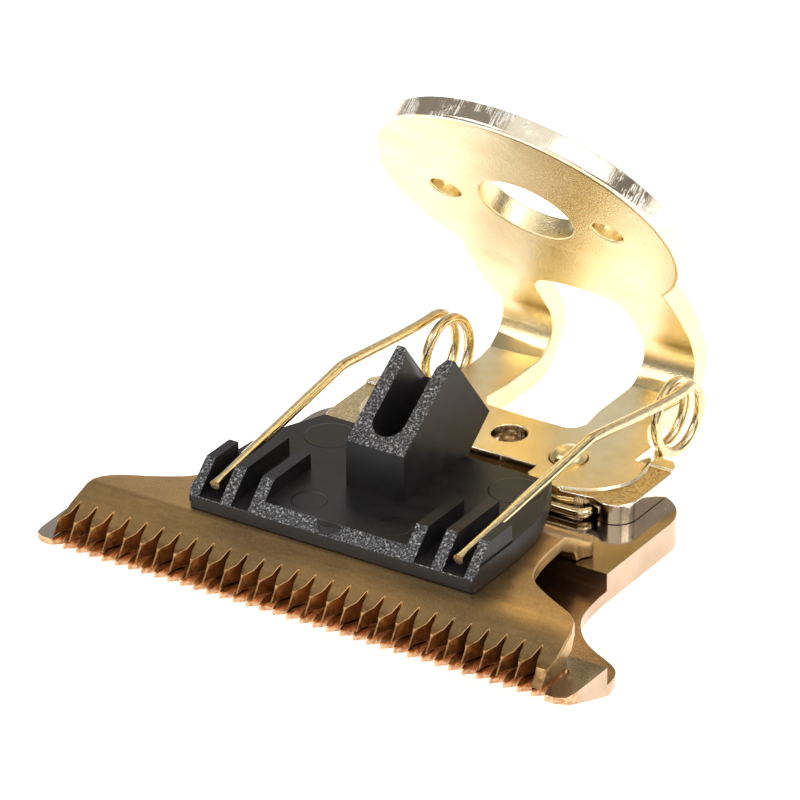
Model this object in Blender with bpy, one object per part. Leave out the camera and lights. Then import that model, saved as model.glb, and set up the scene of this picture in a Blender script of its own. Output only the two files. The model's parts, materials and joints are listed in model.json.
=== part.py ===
"""T-blade cutting head of a beard trimmer, as seven separate pieces.

Millimetres inside the script, metres in Blender, +Z up.  The design frame has x = 0 on the
plane of symmetry, y = 0 at the fixed tooth tips with +Y to the rear, and z = 0 on the ground
lands that the moving blade slides on.  An empty moves it so that the part stands on z = 0.
"""
import math

import bmesh
import bpy
from mathutils import Vector

MM = 0.001
SEAT = 0.05            # clearance left between pieces that bear on each other

# Fixed blade: a thick plate with a ground trough between two lands.
BLADE_HALF = 20.0
BLADE_DEPTH = 26.1
BLADE_THICK = 2.1
BLOCK_HALF = 13.85     # half-width of the rear block
BLOCK_CORNER = 3.3
LAND_DEPTH = 4.8       # front land, from the tips to the trough
TROUGH_END = 15.0
TROUGH_FLOOR = -1.25
EDGE_THICK = 0.45      # thickness left at the tooth tips
BEVEL_DEPTH = 5.0      # how far the underside bevel runs back from the tips
TIP_FRONT = -0.1       # the outer corners stand this far ahead of the teeth
FIXED_PITCH = 1.0
FIXED_GAPS = 37
FIXED_GAP_ROOT = 3.1
FIXED_GAP_HALF = 0.2

# Moving blade: a bent-down comb on a flat plate.
CUTTER_X = -0.25       # where the cutter stands at rest, just left of centre
CUTTER_TOP = 2.47
CUTTER_THICK = 0.95
CUTTER_PITCH = 1.282
CUTTER_GROOVES = 28
COMB_SHIFT = -0.35     # the comb is not centred on its plate
CUTTER_REAR = 16.9     # the rear edge, bent down to slide on the rear land
PEG_X = 6.6            # staked pegs that hold the fork on the moving blade
PEG_Y = 12.6
PEG_RADIUS = 0.9

# Drive fork: one moulding with a base plate, six ribs and the slotted block.
FORK_BOTTOM = CUTTER_TOP + SEAT
FORK_TOP = 4.05
FORK_FRONT = 4.43
FORK_LIP = 3.37        # top of the vertical front edge
FACE_SLOPE = math.radians(43.0)
FORK_BLOCK_HALF = 2.17
SLOT_HALF = 1.15
SLOT_DEPTH = 4.0       # square to the inclined face
RIB_TOP = 5.27
RIBS = (               # inner x, outer x, rear end, top
    (9.93, 10.62, 9.1, RIB_TOP),
    (7.50, 8.33, 11.3, RIB_TOP),
    (5.33, 6.22, 10.5, RIB_TOP - 0.15),
)
RIB_POCKETS = ((8.2, 10.05), (6.1, 7.6))   # the floor between ribs is sunk to the lip
POCKET_FLOOR = 3.42

# Mounting bracket: one stamping, a round motor plate folded over onto a flat foot.
SHEET = 1.6
DISC_RADIUS = 10.9
DISC_TILT = math.radians(53.3)       # tilt of the motor axis from vertical
DISC_BELOW = 14.93                   # disc centre to the start of the bend, along the sheet
BEND_RADIUS = 2.0
BEND_Y = 34.76
FOOT_BOTTOM = SEAT
BEND_Z = FOOT_BOTTOM + SHEET + BEND_RADIUS
BEND_ANGLE = math.pi - DISC_TILT
BEND_LENGTH = BEND_RADIUS * BEND_ANGLE
BEND_SEGMENTS = 12
SHAFT_HOLE = 3.35
MOTOR_SCREW_HOLE = 1.1
MOTOR_SCREW_X = 6.1
FOOT_HALF = 11.75
FOOT_FRONT = 20.6
FOOT_RECESS = 22.4
FOOT_REAR = 27.7
NOTCH = (9.0, 9.95, 26.5)            # where the wire passes through the foot: x, x, front end
FOOT_HOLE = (0.2, 25.3, 1.2)
COINED = (6.4, 24.9, 4.0, 0.2)        # round pad left proud on each lobe: x, y, radius, step

# Screws that clamp the fixed blade under the foot.
SCREW_X = 5.2
SCREW_Y = 24.5
SCREW_RADIUS = 1.25
SCREW_HEAD = 2.2
SCREW_DOME = 0.75

# Torsion spring, one length of wire.
WIRE_RADIUS = 0.35
COIL_RADIUS = 2.33
COIL_Y = 31.7
COIL_Z = 2.4
COIL_INNER_X = 8.05
COIL_TURNS = 1.5
WIRE_PITCH = 1.12

TOTAL_DEPTH = BEND_Y + BEND_RADIUS + SHEET

MATERIALS = {          # colour, metallic, roughness
    "fixed_blade": ((0.55, 0.36, 0.20, 1.0), 1.0, 0.35),
    "moving_blade": ((0.58, 0.38, 0.15, 1.0), 1.0, 0.38),
    "drive_fork": ((0.02, 0.02, 0.022, 1.0), 0.0, 0.42),
    "mounting_bracket": ((0.90, 0.70, 0.32, 1.0), 1.0, 0.12),
    "torsion_spring": ((0.88, 0.74, 0.42, 1.0), 1.0, 0.15),
    "blade_screw": ((0.86, 0.68, 0.34, 1.0), 1.0, 0.18),
}


# ---------------------------------------------------------------- outlines and meshes

def arc(centre, radius, start, end, steps):
    """Points on a circle, angles in degrees."""
    turn = [math.radians(start + (end - start) * i / steps) for i in range(steps + 1)]
    return [(centre[0] + radius * math.cos(a), centre[1] + radius * math.sin(a)) for a in turn]


def smooth(points, steps):
    """An open Catmull-Rom curve through a few points, with `steps` parts a span."""
    ends = [points[0]] + list(points) + [points[-1]]
    out = []
    for i in range(1, len(ends) - 2):
        p0, p1, p2, p3 = (Vector(p) for p in ends[i - 1:i + 3])
        for k in range(steps):
            t = k / steps
            out.append(tuple(0.5 * (2 * p1 + (p2 - p0) * t + (2 * p0 - 5 * p1 + 4 * p2 - p3) * t * t
                                    + (3 * p1 - p0 - 3 * p2 + p3) * t ** 3)))
    return out + [tuple(points[-1])]


def mirrored(half):
    """Close a right-hand outline with its mirror image; points on x = 0 stay single."""
    left = [(-x, y) for x, y in reversed(half) if abs(x) > 1e-6]
    return list(half) + left


def new_object(name, mesh, parent=None):
    obj = bpy.data.objects.new(name, mesh)
    bpy.context.scene.collection.objects.link(obj)
    obj.parent = parent
    return obj


def to_mesh(name, bm, sharp=35.0):
    """Scale a bmesh in millimetres to metres, face it outwards and shade it by angle."""
    bmesh.ops.recalc_face_normals(bm, faces=bm.faces)
    bmesh.ops.scale(bm, vec=(MM, MM, MM), verts=bm.verts)
    mesh = bpy.data.meshes.new(name)
    bm.to_mesh(mesh)
    bm.free()
    mesh.shade_smooth()
    mesh.set_sharp_from_angle(angle=math.radians(sharp))
    return mesh


def add_prism(bm, outline, low, high, place):
    """Extrude a closed outline from `low` to `high`; `place` maps (u, v, w) to a point."""
    bottom = bm.faces.new([bm.verts.new(place(u, v, low)) for u, v in outline])
    top = bmesh.ops.extrude_face_region(bm, geom=[bottom])
    corners = [v for v in top["geom"] if isinstance(v, bmesh.types.BMVert)]
    step = Vector(place(0, 0, high)) - Vector(place(0, 0, low))
    bmesh.ops.translate(bm, verts=corners, vec=step)


def along_z(u, v, w):
    return (u, v, w)


def along_x(u, v, w):
    return (w, u, v)


def operand(name, shapes):
    """A hidden body, or several apart from each other, for a Boolean to use."""
    bm = bmesh.new()
    for outline, low, high, place in shapes:
        add_prism(bm, outline, low, high, place)
    obj = new_object(name, to_mesh(name, bm))
    obj.hide_render = True
    obj.display_type = "WIRE"
    obj.hide_set(True)
    return obj


def boolean(obj, other, operation):
    other.parent = obj.parent
    modifier = obj.modifiers.new(other.name, "BOOLEAN")
    modifier.operation = operation
    modifier.solver = "EXACT"
    modifier.object = other


def give_material(obj, key):
    colour, metallic, roughness = MATERIALS[key]
    material = bpy.data.materials.get(key) or bpy.data.materials.new(key)
    material.use_nodes = True
    shader = material.node_tree.nodes["Principled BSDF"]
    shader.inputs["Base Color"].default_value = colour
    shader.inputs["Metallic"].default_value = metallic
    shader.inputs["Roughness"].default_value = roughness
    obj.data.materials.append(material)


def circle(x, y, radius, sides=32):
    return arc((x, y), radius, 0, 360 - 360 / sides, sides - 1)


# ---------------------------------------------------------------- fixed blade

def fixed_blade_outline():
    """Right half of the plan, from the front centre round the wing to the rear."""
    wing = [(19.2, TIP_FRONT), (19.8, 0.24), (19.95, 1.0), (20.0, 3.2), (20.0, 5.1)]
    neck = smooth([(20.0, 5.1), (19.72, 6.3), (18.9, 7.15), (16.4, 8.5), (14.75, 10.3),
                   (14.1, 12.0), (BLOCK_HALF, 14.2)], 3)
    corner = arc((BLOCK_HALF - BLOCK_CORNER, BLADE_DEPTH - BLOCK_CORNER), BLOCK_CORNER, 0, 90, 8)
    return [(0.0, TIP_FRONT)] + wing + neck[1:] + corner + [(0.0, BLADE_DEPTH)]


def fixed_gap(x):
    """Plan of one gap: flared at the tooth tips, then narrow to a round root."""
    half = FIXED_GAP_HALF
    root = arc((x, FIXED_GAP_ROOT), half, 0, 180, 4)
    return [(x - 0.49, -1.0), (x - 0.49, -0.25), (x - 0.40, 0.05), (x - half, 0.75)] + root[::-1] + [
        (x + half, 0.75), (x + 0.40, 0.05), (x + 0.49, -0.25), (x + 0.49, -1.0)]


def make_fixed_blade(parent):
    section = [(-1.0, 0.0), (LAND_DEPTH, 0.0), (LAND_DEPTH, TROUGH_FLOOR), (TROUGH_END, TROUGH_FLOOR),
               (TROUGH_END, 0.0), (BLADE_DEPTH + 1, 0.0), (BLADE_DEPTH + 1, -BLADE_THICK),
               (BEVEL_DEPTH, -BLADE_THICK), (0.0, -EDGE_THICK), (-1.0, -EDGE_THICK)]
    bm = bmesh.new()
    add_prism(bm, section, -BLADE_HALF - 1, BLADE_HALF + 1, along_x)
    blade = new_object("fixed_blade", to_mesh("fixed_blade", bm), parent)
    plan = operand("fixed_blade_plan", [(mirrored(fixed_blade_outline()), -4, 3, along_z)])
    boolean(blade, plan, "INTERSECT")
    middle = (FIXED_GAPS - 1) / 2
    gaps = [(fixed_gap((i - middle) * FIXED_PITCH), -3, 1, along_z) for i in range(FIXED_GAPS)]
    boolean(blade, operand("fixed_blade_gaps", gaps), "DIFFERENCE")
    boolean(blade, screw_cutter("fixed_blade_screw_holes", SCREW_RADIUS + 0.15, SCREW_HEAD + SEAT,
                                -BLADE_THICK - 1, 1.0), "DIFFERENCE")
    give_material(blade, "fixed_blade")
    return blade


# ---------------------------------------------------------------- screws

def turned(bm, profile, x, y, sides=24):
    """Spin a (radius, z) profile that starts and ends on the axis, top to bottom."""
    rings = []
    for radius, z in profile:
        if radius < 1e-6:
            rings.append([bm.verts.new((x, y, z))])
        else:
            rings.append([bm.verts.new((u, v, z)) for u, v in circle(x, y, radius, sides)])
    for upper, lower in zip(rings, rings[1:]):
        for i in range(sides):
            j = (i + 1) % sides
            ring = [upper[i % len(upper)], lower[i % len(lower)],
                    lower[j % len(lower)], upper[j % len(upper)]]
            corners = list(dict.fromkeys(ring))
            bm.faces.new(corners)


def screw_cutter(name, shaft, head, low, high):
    """Two stepped cutters: a clearance hole with a countersink that opens downwards."""
    sink = head - shaft
    bm = bmesh.new()
    for x in (-SCREW_X, SCREW_X):
        turned(bm, [(0, high), (shaft, high), (shaft, -BLADE_THICK + sink + SEAT),
                    (head, -BLADE_THICK), (head, low), (0, low)], x, SCREW_Y)
    obj = new_object(name, to_mesh(name, bm))
    obj.hide_render = True
    obj.display_type = "WIRE"
    obj.hide_set(True)
    return obj


def make_screw(name, x, parent):
    """Countersunk screw from below; its domed end stands proud of the foot."""
    top = FOOT_BOTTOM + SHEET
    dome = [(SCREW_RADIUS * math.cos(math.radians(a)), top + SCREW_DOME * math.sin(math.radians(a)))
            for a in (90, 70, 50, 30, 12)]
    dome[0] = (0.0, top + SCREW_DOME)
    sink = SCREW_HEAD - SCREW_RADIUS
    foot = -BLADE_THICK + SEAT
    recess = 1.0
    profile = dome + [(SCREW_RADIUS, top), (SCREW_RADIUS, foot + sink), (SCREW_HEAD, foot),
                      (recess, foot), (recess * 0.8, foot + 0.6), (0.0, foot + 0.6)]
    bm = bmesh.new()
    turned(bm, profile, x, SCREW_Y)
    screw = new_object(name, to_mesh(name, bm), parent)
    give_material(screw, "blade_screw")
    return screw


# ---------------------------------------------------------------- moving blade

def moving_blade_outline():
    """Right half of the plan about the cutter's own centre line."""
    wing = [(18.3, 0.0), (18.3, 2.9), (18.2, 3.9), (17.8, 4.9)]
    side = smooth([(17.8, 4.9), (16.9, 5.75), (14.6, 6.95), (12.75, 8.3), (11.95, 10.3),
                   (11.65, 12.8), (11.6, 14.6), (11.8, 15.8)], 3)
    arm = [(12.1, 16.25), (12.15, 16.6), (11.95, CUTTER_REAR)]
    return [(0.0, 0.0)] + wing + side[1:] + arm + [(0.0, CUTTER_REAR)]


def moving_groove(x):
    """Plan of one groove: a sharp point at the rear that flares to knife-edged teeth."""
    full = CUTTER_PITCH / 2 - 0.06
    return [(x - full, -1.0), (x - full, 0.72), (x - 0.2, 1.56), (x - 0.05, 2.5), (x + 0.05, 2.5),
            (x + 0.2, 1.56), (x + full, 0.72), (x + full, -1.0)]


def make_moving_blade(parent):
    bottom = CUTTER_TOP - CUTTER_THICK
    section = [(0.12, SEAT), (0.85, 1.11), (1.56, 1.27), (4.30, CUTTER_TOP), (13.9, CUTTER_TOP),
               (16.3, 1.2), (CUTTER_REAR + 1, 1.1), (CUTTER_REAR + 1, SEAT), (TROUGH_END + 0.3, SEAT),
               (TROUGH_END + 0.1, 0.7), (13.6, bottom), (5.2, bottom), (3.4, 0.75), (3.4, SEAT)]
    bm = bmesh.new()
    add_prism(bm, section, -BLADE_HALF, BLADE_HALF, along_x)
    blade = new_object("moving_blade", to_mesh("moving_blade", bm), parent)
    plan = operand("moving_blade_plan", [(mirrored(moving_blade_outline()), -1, 4, along_z)])
    boolean(blade, plan, "INTERSECT")
    middle = (CUTTER_GROOVES - 1) / 2
    centres = [(i - middle) * CUTTER_PITCH + COMB_SHIFT for i in range(CUTTER_GROOVES)]
    grooves = operand("moving_blade_grooves", [(moving_groove(x), -1, 4, along_z) for x in centres])
    boolean(blade, grooves, "DIFFERENCE")
    holes = [(circle(x, PEG_Y, PEG_RADIUS + SEAT, 20), 0, 4, along_z) for x in (-PEG_X, PEG_X)]
    boolean(blade, operand("moving_blade_peg_holes", holes), "DIFFERENCE")
    give_material(blade, "moving_blade")
    return blade


# ---------------------------------------------------------------- drive fork

def fork_plate_outline():
    """Right half of the base plate's plan."""
    return [(0.0, FORK_FRONT), (10.45, FORK_FRONT), (10.72, FORK_FRONT + 0.3), (10.74, 9.4),
            (10.45, 12.5), (9.75, 14.6), (8.6, 17.2), (0.0, 17.2)]


def face_y(z):
    """Where the inclined front face stands at a height."""
    return FORK_FRONT + (z - FORK_LIP) / math.tan(FACE_SLOPE)


def rib_section(rear, top):
    """Side view of a rib, sunk a little into the plate."""
    low = FORK_BOTTOM + 0.4
    return [(FORK_FRONT + 0.02, low), (FORK_FRONT + 0.02, FORK_LIP), (face_y(top), top), (rear, top),
            (rear + 0.1, low)]


def fork_block_section():
    """Side view of the slotted block: front wall, inclined face and undercut rear."""
    base = FORK_BOTTOM + 0.4
    return [(9.77, base), (9.77, 7.31), (15.85, 11.45), (20.05, 6.05), (17.45, FORK_TOP),
            (17.1, base)]


def slot_shape():
    """U slot in the block, seen square to its inclined face and cut right through it."""
    face = Vector((15.85 - 9.77, 11.45 - 7.31)).normalized()
    out = Vector((-face.y, face.x))
    start = Vector((9.77, 7.31)) + face * (0.95 + SLOT_HALF)
    mouth = SLOT_HALF + 0.45
    outline = arc((0, 0), SLOT_HALF, 180, 360, 12) + [
        (SLOT_HALF, 4.5), (mouth, 5.3), (mouth, 9.0), (-mouth, 9.0), (-mouth, 5.3), (-SLOT_HALF, 4.5)]

    def place(u, v, w):
        side = start + face * v + out * w
        return (u, side.x, side.y)

    return outline, -SLOT_DEPTH, 3.0, place


def make_drive_fork(parent):
    section = [(FORK_FRONT, FORK_BOTTOM), (FORK_FRONT, FORK_LIP), (face_y(FORK_TOP), FORK_TOP),
               (18.0, FORK_TOP), (18.0, FORK_BOTTOM)]
    bm = bmesh.new()
    add_prism(bm, section, -12, 12, along_x)
    fork = new_object("drive_fork", to_mesh("drive_fork", bm), parent)
    plan = operand("drive_fork_plan", [(mirrored(fork_plate_outline()), 0, 8, along_z)])
    boolean(fork, plan, "INTERSECT")
    pockets = []
    for low_x, high_x in RIB_POCKETS:
        outline = [(FORK_FRONT - 1, POCKET_FLOOR), (8.2, POCKET_FLOOR), (8.9, 6.0), (FORK_FRONT - 1, 6.0)]
        pockets.append((outline, low_x, high_x, along_x))
        pockets.append((outline, -high_x, -low_x, along_x))
    boolean(fork, operand("drive_fork_pockets", pockets), "DIFFERENCE")
    shapes = [(fork_block_section(), -FORK_BLOCK_HALF, FORK_BLOCK_HALF, along_x)]
    for inner, outer, rear, top in RIBS:
        shapes.append((rib_section(rear, top), inner, outer, along_x))
        shapes.append((rib_section(rear, top), -outer, -inner, along_x))
    boolean(fork, operand("drive_fork_ribs", shapes), "UNION")
    peg_low = CUTTER_TOP - CUTTER_THICK - 0.12
    pegs = [(circle(x, PEG_Y, PEG_RADIUS, 20), peg_low, FORK_BOTTOM + 0.4, along_z)
            for x in (-PEG_X, PEG_X)]
    boolean(fork, operand("drive_fork_pegs", pegs), "UNION")
    gate = [(circle(-0.4, FORK_FRONT + 1.0, 0.95, 20), FORK_BOTTOM + 0.4, FORK_TOP - 0.02, along_z)]
    boolean(fork, operand("drive_fork_gate", gate), "UNION")
    boolean(fork, operand("drive_fork_slot", [slot_shape()]), "DIFFERENCE")
    give_material(fork, "drive_fork")
    return fork


# ---------------------------------------------------------------- mounting bracket

def foot_s(y):
    """Distance along the sheet, from the start of the bend, to a place on the foot."""
    return BEND_LENGTH + BEND_Y - y


def folded(x, s, t):
    """Fold a point of the flat blank: s runs down the sheet, t away from its inner side."""
    if s < 0:
        angle, ahead = 0.0, s
    elif s < BEND_LENGTH:
        angle, ahead = s / BEND_RADIUS, 0.0
    else:
        angle, ahead = BEND_ANGLE, s - BEND_LENGTH
    turn = DISC_TILT + angle
    out = Vector((0.0, math.sin(turn), math.cos(turn)))
    down = Vector((0.0, math.cos(turn), -math.sin(turn)))
    centre = Vector((0.0, BEND_Y, BEND_Z))
    return Vector((x, 0, 0)) + centre + out * (BEND_RADIUS + t) + down * ahead


def blank_outline():
    """Right half of the flat blank, from the top of the disc to the front of the foot."""
    join = 7.65
    half_join = math.sqrt(DISC_RADIUS ** 2 - join ** 2)
    end = -math.degrees(math.asin(join / DISC_RADIUS))
    disc = arc((0, 0), DISC_RADIUS, 90, end, 30)
    disc = [(x, -DISC_BELOW - v) for x, v in disc]
    disc[0] = (0.0, -DISC_BELOW - DISC_RADIUS)
    neck = smooth([(half_join, join - DISC_BELOW), (7.9, 9.0 - DISC_BELOW), (7.9, 13.0 - DISC_BELOW),
                   (7.5, 0.2), (7.5, 3.4), (7.2, foot_s(33.5))], 2)
    root = smooth([(7.2, foot_s(33.5)), (7.3, foot_s(31.2)), (8.3, foot_s(29.4)),
                   (NOTCH[0], foot_s(28.6))], 3)
    front = foot_s(FOOT_FRONT)
    corner = 1.6
    lobe = ([(NOTCH[0], foot_s(NOTCH[2])), (NOTCH[1], foot_s(NOTCH[2])), (NOTCH[1], foot_s(FOOT_REAR)),
             (FOOT_HALF - 0.5, foot_s(FOOT_REAR)), (FOOT_HALF, foot_s(FOOT_REAR - 0.6))]
            + arc((FOOT_HALF - corner, front - corner), corner, 0, 90, 6)
            + [(9.2, front - 0.35), (6.7, front), (4.5, front - 0.25), (4.0, front - 0.75),
               (4.0, foot_s(FOOT_RECESS)), (0.0, foot_s(FOOT_RECESS))])
    return disc + neck[1:] + root[1:] + lobe


def window_outline():
    """Right half of the opening between the two arms."""
    top = smooth([(0.0, 10.1 - DISC_BELOW), (1.6, 10.2 - DISC_BELOW), (2.8, 10.65 - DISC_BELOW),
                  (3.5, 11.6 - DISC_BELOW)], 3)
    return top + [(3.5, foot_s(31.0)), (3.75, foot_s(29.0)), (3.45, foot_s(28.3)), (3.0, foot_s(28.0)),
                  (0.0, foot_s(27.9))]


def fold_blank(bm):
    """Cut the blank across the bend so that it can turn, then fold it."""
    for i in range(BEND_SEGMENTS + 1):
        s = BEND_LENGTH * i / BEND_SEGMENTS
        everything = bm.verts[:] + bm.edges[:] + bm.faces[:]
        bmesh.ops.bisect_plane(bm, geom=everything, plane_co=(0, s, 0), plane_no=(0, 1, 0), dist=1e-5)
    for vert in bm.verts:
        vert.co = folded(*vert.co)


def flat_blank():
    """The stamped blank before folding, with its window and holes."""
    bm = bmesh.new()
    add_prism(bm, mirrored(blank_outline()), 0.0, SHEET, along_z)
    blank = new_object("blank", to_mesh("blank", bm))
    shapes = [(mirrored(window_outline()), -1, SHEET + 1, along_z),
              (circle(0, -DISC_BELOW, SHAFT_HOLE, 40), -1, SHEET + 1, along_z),
              (circle(FOOT_HOLE[0], foot_s(FOOT_HOLE[1]), FOOT_HOLE[2], 24), -1, SHEET + 1, along_z)]
    for side in (-1, 1):
        shapes.append((circle(side * MOTOR_SCREW_X, -DISC_BELOW, MOTOR_SCREW_HOLE, 20),
                       -1, SHEET + 1, along_z))
        shapes.append((circle(side * SCREW_X, foot_s(SCREW_Y), SCREW_RADIUS + SEAT, 24),
                       -1, SHEET + 1, along_z))
    boolean(blank, operand("blank_holes", shapes), "DIFFERENCE")
    groove = [(8.9, foot_s(26.8)), (9.98, foot_s(26.8)), (9.6, foot_s(19.0)), (8.35, foot_s(19.0))]
    x, y, radius, step = COINED
    border = arc((x, y), radius, -83, 25, 12) + [(13.0, y + 1.7), (13.0, 19.0), (x + 0.5, 19.0)]
    border = [(u, foot_s(v)) for u, v in border]
    grooves = []
    for side in (-1, 1):
        grooves.append(([(side * u, s) for u, s in groove], SHEET - 0.85, SHEET + 1, along_z))
        grooves.append(([(side * u, s) for u, s in border], -1, step, along_z))
    boolean(blank, operand("blank_wire_grooves", grooves), "DIFFERENCE")
    evaluated = blank.evaluated_get(bpy.context.evaluated_depsgraph_get())
    bm = bmesh.new()
    bm.from_mesh(evaluated.to_mesh())
    evaluated.to_mesh_clear()
    for obj in [modifier.object for modifier in blank.modifiers] + [blank]:
        bpy.data.objects.remove(obj, do_unlink=True)
    bmesh.ops.scale(bm, vec=(1 / MM, 1 / MM, 1 / MM), verts=bm.verts)
    return bm


def make_mounting_bracket(parent):
    bm = flat_blank()
    fold_blank(bm)
    bracket = new_object("mounting_bracket", to_mesh("mounting_bracket", bm), parent)
    give_material(bracket, "mounting_bracket")
    return bracket


# ---------------------------------------------------------------- torsion spring

def coil_points():
    """Right-hand coil, from the arm on its outer loop to the leg that leaves its underside."""
    steps = round(18 * COIL_TURNS)
    points = []
    for i in range(steps + 1):
        a = math.pi / 2 - 2 * math.pi * COIL_TURNS * i / steps
        x = COIL_INNER_X + WIRE_PITCH * COIL_TURNS * (1 - i / steps)
        points.append((x, COIL_Y + COIL_RADIUS * math.cos(a), COIL_Z + COIL_RADIUS * math.sin(a)))
    return points


def spring_arm(side):
    """One arm, from its tip in the fork to the kink; the cutter draws its tip sideways."""
    tip = Vector((side * 9.12 + CUTTER_X, 5.15, 4.18))
    kink = Vector((side * 9.45, 20.05, 6.15))
    return [tuple(tip.lerp(kink, t)) for t in (0.0, 0.25, 0.5, 0.75, 0.97, 1.0)]


def spring_half(side):
    """Half of the wire, from its tip in the fork to the middle of the cross run."""
    coil = coil_points()
    leg = smooth([coil[-1], (8.5, 30.4, 0.1), (9.35, 28.9, 0.2), (9.52, 27.6, 0.38), (9.48, 26.2, 0.45),
                  (9.25, 23.0, 0.45), (9.05, 21.0, 0.45), (8.75, 20.3, 0.45), (8.1, 20.15, 0.45)], 3)
    body = [(9.5, 20.9, 6.1), (9.65, 26.8, 5.2), (9.8, 30.2, 4.8)] + coil + leg[1:] + [(0.0, 20.15, 0.45)]
    return spring_arm(side) + [(side * x, y, z) for x, y, z in body]


def make_torsion_spring(parent):
    route = spring_half(1) + spring_half(-1)[-2::-1]
    curve = bpy.data.curves.new("torsion_spring", "CURVE")
    curve.dimensions = "3D"
    curve.bevel_depth = WIRE_RADIUS * MM
    curve.bevel_resolution = 2
    curve.use_fill_caps = True
    spline = curve.splines.new("POLY")
    spline.points.add(len(route) - 1)
    for point, place in zip(spline.points, route):
        point.co = (place[0] * MM, place[1] * MM, place[2] * MM, 1.0)
    spring = new_object("torsion_spring", curve, parent)
    give_material(spring, "torsion_spring")
    return spring


# ---------------------------------------------------------------- assembly

def main():
    for obj in list(bpy.data.objects):
        bpy.data.objects.remove(obj, do_unlink=True)
    frame = new_object("frame_origin", None)
    frame.location = (0.0, -(TOTAL_DEPTH + TIP_FRONT) / 2 * MM, BLADE_THICK * MM)
    slide = new_object("cutter_slide_axis", None, frame)
    slide.location = (CUTTER_X * MM, 0.0, 0.0)
    make_fixed_blade(frame)
    make_mounting_bracket(frame)
    make_screw("blade_screw_left", -SCREW_X, frame)
    make_screw("blade_screw_right", SCREW_X, frame)
    make_torsion_spring(frame)
    make_moving_blade(slide)
    make_drive_fork(slide)


main()
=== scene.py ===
"""Beard trimmer cutting head: materials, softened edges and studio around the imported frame."""

import json
import math

import bmesh
import bpy
from mathutils import Matrix, Vector


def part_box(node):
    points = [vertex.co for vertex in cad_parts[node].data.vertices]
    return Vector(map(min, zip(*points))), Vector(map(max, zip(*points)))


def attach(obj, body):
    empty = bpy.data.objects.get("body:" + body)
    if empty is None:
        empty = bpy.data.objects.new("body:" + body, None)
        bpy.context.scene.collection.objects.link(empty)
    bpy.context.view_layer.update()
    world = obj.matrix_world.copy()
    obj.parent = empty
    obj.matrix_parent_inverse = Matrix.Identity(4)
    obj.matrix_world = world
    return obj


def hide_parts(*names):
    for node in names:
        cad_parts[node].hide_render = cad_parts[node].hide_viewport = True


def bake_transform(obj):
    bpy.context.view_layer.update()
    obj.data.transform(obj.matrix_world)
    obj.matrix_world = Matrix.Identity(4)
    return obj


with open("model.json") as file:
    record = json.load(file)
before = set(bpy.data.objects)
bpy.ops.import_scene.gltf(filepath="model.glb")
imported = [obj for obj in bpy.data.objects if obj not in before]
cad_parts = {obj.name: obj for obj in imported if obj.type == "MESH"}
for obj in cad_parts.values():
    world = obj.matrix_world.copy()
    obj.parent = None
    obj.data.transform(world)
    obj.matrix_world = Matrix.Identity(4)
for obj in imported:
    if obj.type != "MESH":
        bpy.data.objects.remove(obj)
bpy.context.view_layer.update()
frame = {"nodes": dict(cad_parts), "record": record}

MM = 0.001
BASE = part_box("fixed_blade")[0]                    # the fixed blade's underside and left side
TIPS_Y = BASE.y + 0.1 * MM                         # the fixed tooth tips
LAND_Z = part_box("fixed_blade")[1].z                # the ground lands


def design(x, y, z):
    """A place in the design frame, in mm: x from the middle, y from the tooth tips, z from the lands."""
    return Vector((x * MM, TIPS_Y + y * MM, LAND_Z + z * MM))


# ---------------------------------------------------------------- shader helpers

class Nodes:
    """Short calls that add nodes to one tree; `where` is the coordinate that its noises use."""

    def __init__(self, tree):
        self.tree = tree
        self.where = None

    def put(self, socket, value):
        if isinstance(value, bpy.types.NodeSocket):
            self.tree.links.new(value, socket)
        else:
            socket.default_value = value

    def node(self, kind, inputs=(), **settings):
        node = self.tree.nodes.new("ShaderNode" + kind)
        for key, value in settings.items():
            setattr(node, key, value)
        for key, value in dict(inputs).items():
            self.put(node.inputs[key], value)
        return node

    def noise(self, scale, detail=2.0, rough=0.5, stretch=None):
        vector = self.where
        if stretch:
            vector = self.node("Mapping", {"Vector": vector, "Scale": stretch}).outputs[0]
        return self.node("TexNoise", {"Vector": vector, "Scale": scale, "Detail": detail,
                                      "Roughness": rough}).outputs["Fac"]

    def ramp(self, value, *stops):
        node = self.node("ValToRGB", {"Fac": value})
        ramp = node.color_ramp
        while len(ramp.elements) < len(stops):
            ramp.elements.new(0.5)
        for element, (at, colour) in zip(ramp.elements, stops):
            element.position = at
            element.color = (*colour, 1.0)
        return node.outputs["Color"]

    def scale(self, value, low, high, start=0.0, end=1.0):
        return self.node("MapRange", {"Value": value, "From Min": start, "From Max": end,
                                      "To Min": low, "To Max": high}).outputs["Result"]

    def maths(self, operation, a, b):
        return self.node("Math", {0: a, 1: b}, operation=operation).outputs[0]

    def mix(self, share, a, b):
        node = self.node("Mix", data_type="RGBA")
        self.put(node.inputs[0], share)
        for socket, value in ((node.inputs[6], a), (node.inputs[7], b)):
            if not isinstance(value, bpy.types.NodeSocket):
                value = (*value, 1.0)
            self.put(socket, value)
        return node.outputs[2]

    def bump(self, height, strength, distance, normal=None):
        node = self.node("Bump", {"Height": height, "Strength": strength, "Distance": distance})
        if normal:
            self.put(node.inputs["Normal"], normal)
        return node.outputs["Normal"]

    def gate(self, value, low, high, to_low=0.0, to_high=1.0):
        """A soft step from `to_low` to `to_high` as the value goes from low to high."""
        node = self.node("MapRange", {"Value": value, "From Min": low, "From Max": high,
                                      "To Min": to_low, "To Max": to_high},
                         interpolation_type="SMOOTHSTEP")
        return node.outputs["Result"]

    def product(self, first, *rest):
        for other in rest:
            first = self.maths("MULTIPLY", first, other)
        return first

    def axes(self, vector):
        return self.node("SeparateXYZ", {"Vector": vector}).outputs


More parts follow.
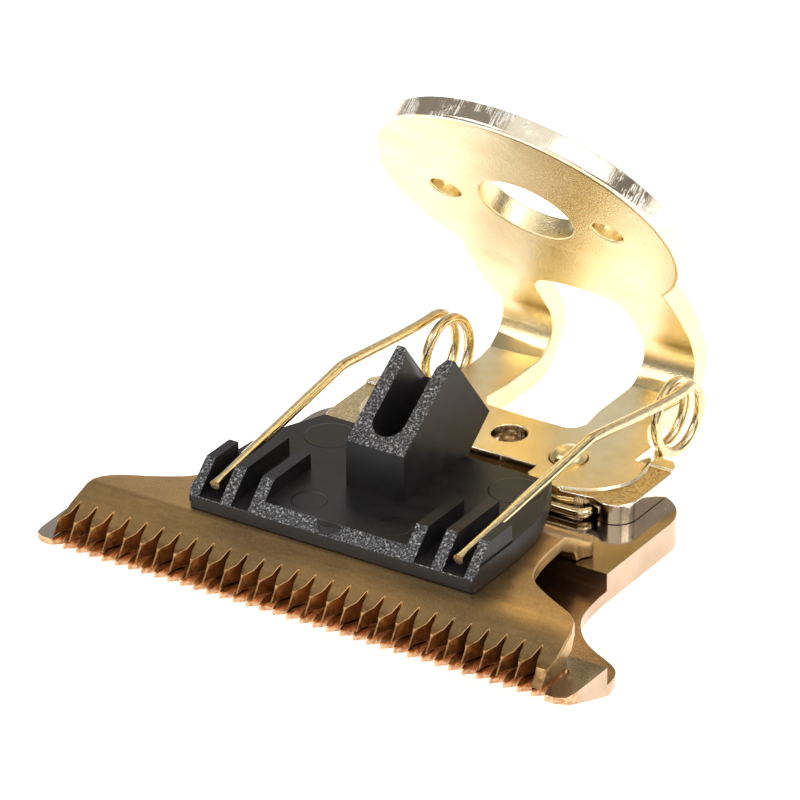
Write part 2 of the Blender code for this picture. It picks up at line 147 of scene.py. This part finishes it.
class Shade(Nodes):
    """A material with its coordinates in millimetres of the rest pose."""

    def __init__(self, name):
        self.material = bpy.data.materials.new(name)
        self.material.use_nodes = True
        super().__init__(self.material.node_tree)
        self.shader = self.tree.nodes["Principled BSDF"]
        coords = self.node("TexCoord").outputs["Object"]
        self.place = self.node("Mapping", {"Vector": coords, "Scale": (1000, 1000, 1000)})
        self.where = self.place.outputs["Vector"]

    def finish(self, **sockets):
        for name, value in sockets.items():
            self.put(self.shader.inputs[name.replace("_", " ")], value)
        return self.material


def gold_mirror():
    """Bright plating over a stamping: orange peel, fine scratches and sooty specks."""
    s = Shade("polished_gold")
    peel = s.noise(1.3, 3.0)
    grain = s.noise(11.0, 2.0, 0.6)
    scratch = s.noise(3.0, 4.0, 0.7, stretch=(0.4, 5.0, 5.0))
    colour = s.ramp(s.noise(0.35, 3.0), (0.3, (0.91, 0.73, 0.39)), (0.7, (0.99, 0.85, 0.53)))
    speck = s.ramp(s.noise(3.2, 1.0), (0.21, (1, 1, 1)), (0.25, (0, 0, 0)))
    colour = s.mix(speck, colour, (0.45, 0.33, 0.18))
    rough = s.maths("ADD", s.scale(scratch, 0.07, 0.17, 0.4, 0.75), s.scale(grain, 0.0, 0.07))
    normal = s.bump(peel, 0.12, 0.03 * MM)
    normal = s.bump(grain, 0.80, 0.03 * MM, normal)
    return s.finish(Base_Color=colour, Metallic=1.0, Roughness=rough, Normal=normal)


def coined_gold():
    """The step struck into each lobe: the same plating over a coarser, darker ground."""
    s = Shade("coined_gold")
    grain = s.noise(6.0, 4.0, 0.7)
    colour = s.ramp(grain, (0.35, (0.50, 0.36, 0.16)), (0.65, (0.88, 0.70, 0.38)))
    return s.finish(Base_Color=colour, Metallic=1.0, Roughness=s.scale(grain, 0.14, 0.32),
                    Normal=s.bump(grain, 0.8, 0.03 * MM))


def sheared_gold(name, tilt, torn_share, lines):
    """The stamping's cut edge: mirror-bright where it sheared clean, torn in fine lines elsewhere."""
    s = Shade(name)
    s.place.inputs["Rotation"].default_value = (tilt, 0, 0)
    line = s.noise(1.0, 5.0, 0.7, stretch=(lines, lines, 0.22))
    patch = s.noise(0.42, 3.0, 0.65)
    torn = s.product(s.gate(line, 0.50, 0.56), s.gate(patch, 0.62 - torn_share, 0.70 - torn_share))
    colour = s.mix(torn, s.ramp(patch, (0.35, (0.80, 0.69, 0.53)), (0.65, (0.95, 0.85, 0.68))),
                   (1.0, 0.97, 0.90))
    rough = s.mix(torn, (0.09, 0.09, 0.09), (0.34, 0.34, 0.34))
    height = s.maths("ADD", s.product(line, torn), s.maths("MULTIPLY", line, 0.25))
    return s.finish(Base_Color=colour, Metallic=1.0, Roughness=rough,
                    Normal=s.bump(height, 0.6, 0.05 * MM))


def gold_wire():
    """Drawn and plated wire, with a slight darkening in its long scratches."""
    s = Shade("gold_wire")
    draw = s.noise(2.4, 4.0, 0.6, stretch=(5.0, 0.6, 5.0))
    colour = s.ramp(draw, (0.30, (0.52, 0.40, 0.20)), (0.55, (0.86, 0.70, 0.42)),
                    (0.8, (0.95, 0.83, 0.57)))
    return s.finish(Base_Color=colour, Metallic=1.0, Roughness=s.scale(draw, 0.10, 0.24),
                    Normal=s.bump(draw, 0.3, 0.01 * MM))


def blade_steel(name, deep, pale, tips, rough, lay, speckle):
    """Coated blade steel with a ground lay along one axis, a fine speckle and tinted tooth tips."""
    s = Shade(name)
    ground = s.noise(2.2, 4.0, 0.65, stretch=lay)
    fine = s.noise(13.0, 2.0, 0.6)
    colour = s.mix(s.gate(s.noise(0.22, 3.0), 0.3, 0.7), deep, pale)
    colour = s.mix(s.scale(fine, 0.0, speckle, 0.45, 0.75), colour, (1.0, 0.80, 0.52))
    stained = (tips[0] * 0.6, tips[1] * 0.5, tips[2] * 0.45)
    blotch = s.ramp(s.noise(2.6, 2.0), (0.4, stained), (0.56, tips))
    near_tips = s.gate(s.axes(s.where)["Y"], design(0, 1.0, 0).y / MM, design(0, 1.9, 0).y / MM, 0.85, 0.0)
    colour = s.mix(near_tips, colour, blotch)
    rough = s.maths("ADD", s.scale(ground, *rough, 0.3, 0.7), s.scale(fine, -0.03, 0.05))
    normal = s.bump(ground, 0.20, 0.01 * MM)
    normal = s.bump(fine, 0.35, 0.01 * MM, normal)
    return s.finish(Base_Color=colour, Metallic=1.0, Roughness=rough, Normal=normal)


def lapped_land():
    """The ground lands: a near mirror with a faint lap along the blade."""
    s = Shade("lapped_land")
    lap = s.noise(1.6, 4.0, 0.6, stretch=(0.2, 4.0, 4.0))
    colour = s.ramp(s.noise(0.3, 2.0), (0.3, (0.36, 0.30, 0.25)), (0.7, (0.44, 0.37, 0.31)))
    return s.finish(Base_Color=colour, Metallic=1.0, Roughness=s.scale(lap, 0.05, 0.13, 0.3, 0.7),
                    Normal=s.bump(lap, 0.12, 0.01 * MM))


# Circles left by the ejector pins on the fork's floor, in mm: design x, design y, radius.
EJECTOR_MARKS = ((-6.95, 14.9, 1.7), (7.0, 14.95, 1.7), (-3.3, 6.85, 1.15), (3.1, 6.8, 1.15))


def ejector_rings(s):
    """Height of the faint circular steps."""
    flat = s.node("VectorMath", {0: s.where, 1: (1, 1, 0)}, operation="MULTIPLY").outputs["Vector"]
    total = None
    for x, y, radius in EJECTOR_MARKS:
        centre = design(x, y, 0) / MM
        away = s.node("VectorMath", {0: flat, 1: (centre.x, centre.y, 0)}, operation="DISTANCE")
        ring = s.gate(away.outputs["Value"], radius - 0.06, radius + 0.06, 1.0, 0.0)
        total = ring if total is None else s.maths("ADD", total, ring)
    return total


def black_moulding():
    """Satin black moulding with its ejector marks and faint flow."""
    s = Shade("black_moulding")
    flow = s.noise(0.6, 3.0, 0.6, stretch=(0.5, 1.5, 1.0))
    fine = s.noise(16.0, 2.0)
    up = s.gate(s.axes(s.node("NewGeometry").outputs["Normal"])["Z"], 0.9, 0.97)
    rings = s.product(ejector_rings(s), up)
    colour = s.mix(s.gate(flow, 0.3, 0.7), (0.0085, 0.0078, 0.0085), (0.0135, 0.0120, 0.0130))
    rough = s.maths("ADD", s.scale(flow, 0.33, 0.45, 0.3, 0.7), s.scale(fine, -0.04, 0.04))
    normal = s.bump(rings, 1.0, 0.05 * MM)
    normal = s.bump(fine, 0.14, 0.01 * MM, normal)
    return s.finish(Base_Color=colour, Roughness=rough, Specular_IOR_Level=0.38, Normal=normal)


def eroded_grain_painted_glints():
    """The coarse grain of the leaning faces, with painted glints: pale grey flecks in its colour stand for
    the sparkle of light on the grain.
    """
    s = Shade("eroded_grain_painted_glints")
    coarse = s.noise(6.5, 2.0, 0.7)
    pits = s.node("TexVoronoi", {"Vector": s.where, "Scale": 5.5, "Randomness": 1.0}).outputs["Distance"]
    height = s.maths("ADD", coarse, s.maths("MULTIPLY", pits, 0.7))
    # The dark stops are the black grain itself; the pale grey stop is painted glints, the sparkle of light
    # on the grain.
    colour = s.ramp(coarse, (0.42, (0.006, 0.006, 0.007)), (0.56, (0.08, 0.077, 0.08)),
                    (0.70, (0.55, 0.54, 0.55)))
    return s.finish(Base_Color=colour, Roughness=s.scale(coarse, 0.16, 0.36, 0.4, 0.6),
                    Specular_IOR_Level=0.7, Normal=s.bump(height, 1.0, 0.11 * MM))


# ---------------------------------------------------------------- pieces

SHARP = math.radians(30)                           # edges that turn less than this are left smooth


def finer(name, node, materials, width, segments=2, weigh=None, clamp=True):
    """A piece with the CAD node's own shape, its edges rounded and its round sides smooth.

    `width` is in mm, and `weigh` gives the share of it that an edge gets.
    """
    bm = bmesh.new()
    bm.from_mesh(frame["nodes"][node].data)
    bmesh.ops.remove_doubles(bm, verts=bm.verts, dist=1e-7)
    bmesh.ops.dissolve_limit(bm, angle_limit=math.radians(0.4), verts=bm.verts, edges=bm.edges)
    layer = bm.edges.layers.float.new("bevel_weight_edge")
    for edge in bm.edges:
        if len(edge.link_faces) == 2 and edge.calc_face_angle() > SHARP:
            edge[layer] = weigh(edge) if weigh else 1.0
            edge.smooth = edge[layer] > 0
    mesh = bpy.data.meshes.new(name)
    bm.to_mesh(mesh)
    bm.free()
    mesh.shade_smooth()
    for material in materials:
        mesh.materials.append(material)
    piece = bpy.data.objects.new(name, mesh)
    bpy.context.scene.collection.objects.link(piece)
    bevel = piece.modifiers.new("edges", "BEVEL")
    bevel.width = width * MM
    bevel.segments = segments
    bevel.limit_method = "WEIGHT"
    bevel.miter_outer = "MITER_ARC"
    bevel.use_clamp_overlap = clamp
    facing = piece.modifiers.new("facing", "WEIGHTED_NORMAL")
    facing.weight = 90
    facing.keep_sharp = True
    body = next(b for b, members in frame["record"]["behaviour"]["bodies"].items() if node in members)
    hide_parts(node)
    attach(piece, body)
    return piece


def leaning_normal(slope):
    """The outward normal of a face that leans back, rising to the rear at `slope` from level."""
    return Vector((0, -math.sin(slope), math.cos(slope)))


DISC_TILT = math.radians(53.3)                     # tilt of the round plate's axis from vertical
DISC_AXIS = Vector((0, math.sin(DISC_TILT), math.cos(DISC_TILT)))
DISC_CENTRE = design(0, 27.44, 16.82)              # on the plate's underside
DISC_RADIUS = 10.9 * MM
HOLES_REACH = 8 * MM                               # the plate's holes lie within this of its centre
PLATE_FROM_Z = design(0, 0, 11).z                  # the round plate stands above this
FOOT_TOP = design(0, 0, 1.65).z
FOOT_REAR = design(0, 29, 0).y                     # the foot lies ahead of this
NARROW = 0.38                                      # share of the bevel's width on ordinary edges
RIM, FOOT, COINED = 1, 2, 3                        # places in the bracket's list of materials


def bracket_weight(edge):
    """Wide roll-over on the round plate's underside edge and small radii on the other clear edges.

    The edges underneath, and those that turn less than 50 degrees, stay as they are.
    """
    middle = (edge.verts[0].co + edge.verts[1].co) / 2
    underneath = middle.z < FOOT_TOP - 0.6 * MM
    if underneath or edge.calc_face_angle() < math.radians(50):
        return 0.0
    ahead = middle - DISC_CENTRE
    rim = abs(ahead.dot(DISC_AXIS)) < 0.1 * MM and abs(ahead.length - DISC_RADIUS) < 0.15 * MM
    above_window = ahead.z > 0 or abs(middle.x) > 5 * MM
    return 1.0 if rim and above_window else NARROW


def moving_weight(edge):
    """The teeth stay crisp; the edges behind them are rounder."""
    middle = (edge.verts[0].co + edge.verts[1].co) / 2
    behind_teeth = middle.y > design(0, 3.2, 0).y
    return 1.0 if behind_teeth else 0.25


def finish_bracket(bracket):
    """Cut edges and struck steps get their own finishes."""
    for face in bracket.data.polygons:
        ahead = face.center - DISC_CENTRE
        level = face.center.z - FOOT_TOP
        if face.center.z > PLATE_FROM_Z:
            if abs(face.normal.dot(DISC_AXIS)) < 0.3 and ahead.length > HOLES_REACH:
                face.material_index = RIM
        elif face.center.y < FOOT_REAR:
            if abs(face.normal.z) < 0.3 and level < 0:
                face.material_index = FOOT
            elif face.normal.z > 0.9 and -0.3 * MM < level < -0.1 * MM:
                face.material_index = COINED


ERODED = 1                                         # place in the fork's list of materials
# The fork's two leaning planes: the outward normal and a point of each.
LEANING_PLANES = ((leaning_normal(math.atan2(4.14, 6.08)), design(0, 9.77, 7.31)),
                  (leaning_normal(math.radians(43.0)), design(0, 4.43, 3.37)))


def finish_fork(fork):
    """The leaning faces are spark-eroded."""
    for face in fork.data.polygons:
        for normal, point in LEANING_PLANES:
            off_plane = abs((face.center - point).dot(normal))
            if face.normal.dot(normal) > 0.97 and off_plane < 0.15 * MM:
                face.material_index = ERODED


LAPPED = 1                                         # place in the fixed blade's list of materials


def finish_fixed_blade(blade):
    """The lands are lapped."""
    for face in blade.data.polygons:
        if face.normal.z > 0.9 and abs(face.center.z - LAND_Z) < 0.05 * MM:
            face.material_index = LAPPED


# The spring's sizes and places, in mm of the design frame.
WIRE_RADIUS = 0.35
COIL_RADIUS, COIL_Y, COIL_Z = 2.33, 31.7, 2.4
COIL_INNER_X, COIL_TURNS, WIRE_PITCH = 8.05, 1.5, 1.12
CUTTER_X = -0.25                                   # the cutter rests this far left of the middle


def smooth(points, steps):
    """An open Catmull-Rom curve through a few points."""
    ends = [points[0]] + list(points) + [points[-1]]
    out = []
    for i in range(1, len(ends) - 2):
        p0, p1, p2, p3 = (Vector(p) for p in ends[i - 1:i + 3])
        for k in range(steps):
            t = k / steps
            out.append(0.5 * (2 * p1 + (p2 - p0) * t + (2 * p0 - 5 * p1 + 4 * p2 - p3) * t * t
                              + (3 * p1 - p0 - 3 * p2 + p3) * t ** 3))
    return out + [Vector(points[-1])]


def coil_points():
    """From the top of the coil's outer loop, turning rearwards and inwards."""
    steps = round(36 * COIL_TURNS)
    points = []
    for i in range(steps + 1):
        turn = math.pi / 2 - 2 * math.pi * COIL_TURNS * i / steps
        x = COIL_INNER_X + WIRE_PITCH * COIL_TURNS * (1 - i / steps)
        points.append(Vector((x, COIL_Y + COIL_RADIUS * math.cos(turn),
                              COIL_Z + COIL_RADIUS * math.sin(turn))))
    return points


def spring_half(side):
    """Half of the wire, from its tip in the fork to the middle of the cross run."""
    tip = Vector((side * 9.12 + CUTTER_X, 5.15, 4.18))
    kink = Vector((side * 9.45, 20.05, 6.15))
    arm = [tip.lerp(kink, i / 12) for i in range(12)]
    bend = smooth([tip.lerp(kink, 0.975), kink, Vector((side * 9.47, 20.5, 6.11))], 4)
    coil = coil_points()
    leg = smooth([coil[-1], (8.5, 30.4, 0.1), (9.35, 28.9, 0.2), (9.52, 27.6, 0.38),
                  (9.48, 26.2, 0.45), (9.25, 23.0, 0.45), (9.05, 21.0, 0.45), (8.75, 20.3, 0.45),
                  (8.1, 20.15, 0.45)], 5)
    rise = smooth([(9.5, 20.9, 6.08), (9.65, 26.8, 5.2), (9.73, 30.2, 4.8), coil[0]], 5)[:-1]
    body = rise + coil + leg[1:] + [Vector((0.0, 20.15, 0.45))]
    return arm + bend[:-1] + [Vector((side * p.x, p.y, p.z)) for p in body]


def build_spring():
    """One length of wire, fixed in place."""
    route = spring_half(1) + spring_half(-1)[-2::-1]
    curve = bpy.data.curves.new("spring_route", "CURVE")
    curve.dimensions = "3D"
    curve.bevel_depth = WIRE_RADIUS * MM
    curve.bevel_resolution = 5
    curve.use_fill_caps = True
    spline = curve.splines.new("POLY")
    spline.points.add(len(route) - 1)
    for point, place in zip(spline.points, route):
        point.co = (*design(*place), 1.0)
    source = bpy.data.objects.new("spring_route", curve)
    bpy.context.scene.collection.objects.link(source)
    solid = source.evaluated_get(bpy.context.evaluated_depsgraph_get())
    mesh = bpy.data.meshes.new_from_object(solid)
    bpy.data.objects.remove(source)
    mesh.name = "torsion_spring_wire"
    mesh.shade_smooth()
    mesh.set_sharp_from_angle(angle=math.radians(60))
    mesh.materials.clear()
    mesh.materials.append(gold_wire())
    wire = bpy.data.objects.new("torsion_spring_wire", mesh)
    bpy.context.scene.collection.objects.link(wire)
    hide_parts("torsion_spring")
    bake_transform(wire)


def build_bracket(gold):
    rim = sheared_gold("sheared_rim", DISC_TILT, 0.12, 8.0)
    foot = sheared_gold("sheared_foot", 0.0, 0.04, 5.0)
    bracket = finer("bracket_plated", "mounting_bracket",
                    (gold, rim, foot, coined_gold()), 0.32, 3, bracket_weight, clamp=False)
    finish_bracket(bracket)


def build_blades():
    steel = blade_steel("fixed_blade_steel", (0.50, 0.34, 0.22), (0.62, 0.44, 0.30), (0.78, 0.47, 0.25),
                        (0.14, 0.26), (0.25, 3.0, 3.0), 0.2)
    fixed = finer("fixed_blade_ground", "fixed_blade", (steel, lapped_land()), 0.04)
    finish_fixed_blade(fixed)
    satin = blade_steel("moving_blade_steel", (0.43, 0.265, 0.11), (0.64, 0.385, 0.14), (0.50, 0.29, 0.12),
                        (0.26, 0.38), (0.4, 2.0, 2.0), 0.35)
    finer("moving_blade_satin", "moving_blade", (satin,), 0.14, 3, moving_weight,
          clamp=False)


def build_fork():
    fork = finer("drive_fork_moulded", "drive_fork",
                 (black_moulding(), eroded_grain_painted_glints()), 0.07)
    finish_fork(fork)


def build_pieces():
    gold = gold_mirror()
    build_bracket(gold)
    build_blades()
    build_fork()
    for side in ("left", "right"):
        finer(f"blade_screw_{side}_plated", f"blade_screw_{side}", (gold,), 0.06)
    build_spring()


# ---------------------------------------------------------------- studio

AZIMUTH, ELEVATION = math.radians(32.49), math.radians(27.64)
LENS = 321.1                                       # in mm, for a sensor 36 mm wide
AIM = design(0, 14.60, 6.26)
DISTANCE, SHIFT_RIGHT, SHIFT_UP = 454.9 * MM, -1.21 * MM, 2.18 * MM


def add_camera():
    back = Vector((math.sin(AZIMUTH) * math.cos(ELEVATION), -math.cos(AZIMUTH) * math.cos(ELEVATION),
                   math.sin(ELEVATION)))
    right = Vector((math.cos(AZIMUTH), math.sin(AZIMUTH), 0))
    up = back.cross(right)
    data = bpy.data.cameras.new("camera")
    data.lens = LENS
    data.sensor_width = 36
    data.clip_start, data.clip_end = 0.01, 10.0
    camera = bpy.data.objects.new("camera", data)
    camera.matrix_world = Matrix((right, up, back)).transposed().to_4x4()
    camera.location = AIM + back * DISTANCE + right * SHIFT_RIGHT + up * SHIFT_UP
    bpy.context.scene.collection.objects.link(camera)
    bpy.context.scene.camera = camera


def add_soft_box(name, place, target, size, power):
    data = bpy.data.lights.new(name, "AREA")
    data.shape = "RECTANGLE"
    data.size, data.size_y = size
    data.energy = power
    light = bpy.data.objects.new(name, data)
    light.location = place
    light.rotation_euler = (Vector(place) - Vector(target)).to_track_quat("Z", "Y").to_euler()
    bpy.context.scene.collection.objects.link(light)


def add_floor():
    """A pale sheet that glows like a light table, just under the blade."""
    bm = bmesh.new()
    bmesh.ops.create_grid(bm, x_segments=1, y_segments=1, size=2.0)
    mesh = bpy.data.meshes.new("floor")
    bm.to_mesh(mesh)
    bm.free()
    floor = bpy.data.objects.new("floor", mesh)
    bpy.context.scene.collection.objects.link(floor)
    floor.location.z = -0.05 * MM
    s = Shade("pale_paper")
    tone = s.ramp(s.noise(0.02, 2.0), (0.3, (0.90, 0.90, 0.90)), (0.7, (0.93, 0.93, 0.93)))
    mesh.materials.append(s.finish(Base_Color=tone, Roughness=0.9, Emission_Color=(1, 1, 1, 1),
                                   Emission_Strength=0.75))


def add_world():
    """A white light tent with dark parts on the left and the right, and a grey one at the rear."""
    world = bpy.data.worlds.new("studio")
    bpy.context.scene.world = world
    world.use_nodes = True
    w = Nodes(world.node_tree)
    x, y, z = w.axes(w.node("TexCoord").outputs["Generated"])[:3]
    left = w.product(w.gate(x, -0.04, -0.30), w.gate(y, 0.60, 0.35), w.gate(z, -0.25, -0.10))
    right = w.product(w.gate(x, 0.62, 0.72), w.gate(z, -0.20, -0.10), w.gate(z, 0.52, 0.42))
    rear = w.product(w.gate(y, 0.25, 0.55), w.gate(z, 0.10, 0.30), w.gate(z, 0.95, 0.80))
    sides = w.maths("ADD", w.product(left, 0.80), w.product(right, 0.85))
    dark = w.maths("ADD", sides, w.product(rear, 0.48))
    shader = w.tree.nodes["Background"]
    w.put(shader.inputs["Color"], w.mix(dark, (1.0, 1.0, 1.0), (0.10, 0.085, 0.07)))
    shader.inputs["Strength"].default_value = 1.05


def build_studio():
    add_floor()
    add_world()
    add_soft_box("key", (-0.25, -0.30, 0.40), (0, 0, 0.01), (0.30, 0.25), 0.7)
    add_soft_box("side", (0.38, -0.07, 0.38), (0, 0, 0.01), (0.25, 0.30), 0.6)
    add_camera()
    bpy.context.scene.view_settings.view_transform = "Standard"


build_pieces()
build_studio()
